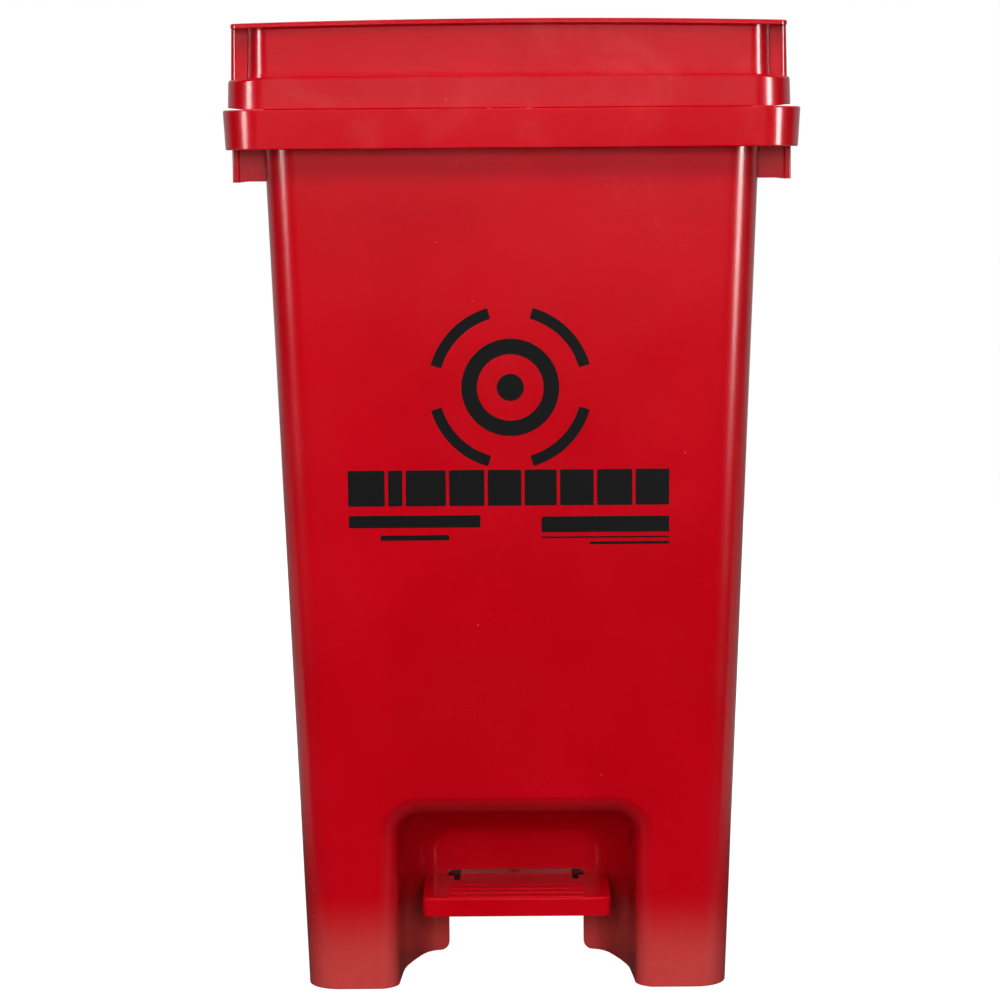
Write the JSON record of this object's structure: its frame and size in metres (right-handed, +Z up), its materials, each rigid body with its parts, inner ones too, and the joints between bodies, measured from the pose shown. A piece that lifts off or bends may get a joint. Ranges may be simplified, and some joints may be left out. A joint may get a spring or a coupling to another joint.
{
  "type": "step-on waste bin",
  "caption": "Tapered step-on waste bin with a tiered hinged lid, side hand grips, an arched foot recess and a pedal lever that opens the lid through a lift rod.",
  "frame": {"origin": "on the floor, under the middle of the bin's overall box", "axes": "+Z up, -Y towards the pedal and the front, +X to the right of a person facing the front"},
  "size_m": [0.347, 0.318, 0.6],
  "materials": {
    "red_plastic": "satin moulded polypropylene with fine grain and scuffs",
    "black_steel": "black coated steel",
    "zinc_steel": "zinc plated steel",
    "black_nylon": "moulded black nylon"
  },
  "bodies": {
    "bin": {"bin_body": "red_plastic", "hinge_pin_left": "zinc_steel", "hinge_pin_right": "zinc_steel", "hinge_pin_clip_left": "black_steel", "hinge_pin_clip_right": "black_steel", "axle_clip_left": "black_steel", "axle_clip_right": "black_steel", "pivot_bush_left": "black_nylon", "pivot_bush_right": "black_nylon", "pedal_axle": "zinc_steel", "rod_guide_upper": "black_nylon", "rod_guide_lower": "black_nylon", "guide_screw_upper_left": "zinc_steel", "guide_screw_upper_right": "zinc_steel", "guide_screw_lower_left": "zinc_steel", "guide_screw_lower_right": "zinc_steel"},
    "lid_assembly": {"lid": "red_plastic", "lift_bracket": "black_steel", "crank_pin": "zinc_steel", "crank_pin_clip": "black_steel", "bracket_screw_front": "zinc_steel", "bracket_screw_rear": "zinc_steel"},
    "pedal_lever": {"pedal_tread": "red_plastic", "cross_rod": "zinc_steel", "pedal_arm_left": "black_steel", "pedal_arm_right": "black_steel", "pedal_screw_left": "zinc_steel", "pedal_screw_right": "zinc_steel", "cross_rod_clip_left": "black_steel", "cross_rod_clip_right": "black_steel"},
    "rod_assembly": {"lift_rod": "zinc_steel", "upper_coupler": "black_nylon", "lower_coupler": "black_nylon"}
  },
  "joints": [
    {"name": "lid_hinge", "type": "hinge", "parent": "bin", "child": "lid_assembly", "pos_m": [0, 0.15, 0.562], "axis": [-1, 0, 0], "range_deg": [0, 78]},
    {"name": "pedal_tilt", "type": "hinge", "parent": "bin", "child": "pedal_lever", "pos_m": [0, 0.004, 0.0435], "axis": [1, 0, 0], "range_deg": [0, 14]},
    {"name": "rod_slide", "type": "slide", "parent": "bin", "child": "rod_assembly", "axis": [0, 0, 1], "range_m": [0, 0.031]}
  ],
  "couplings": [
    {"joint": "pedal_tilt", "follows": "lid_hinge", "ratio": 0.1771},
    {"joint": "rod_slide", "follows": "lid_hinge", "m_per_rad": 0.022189}
  ]
}
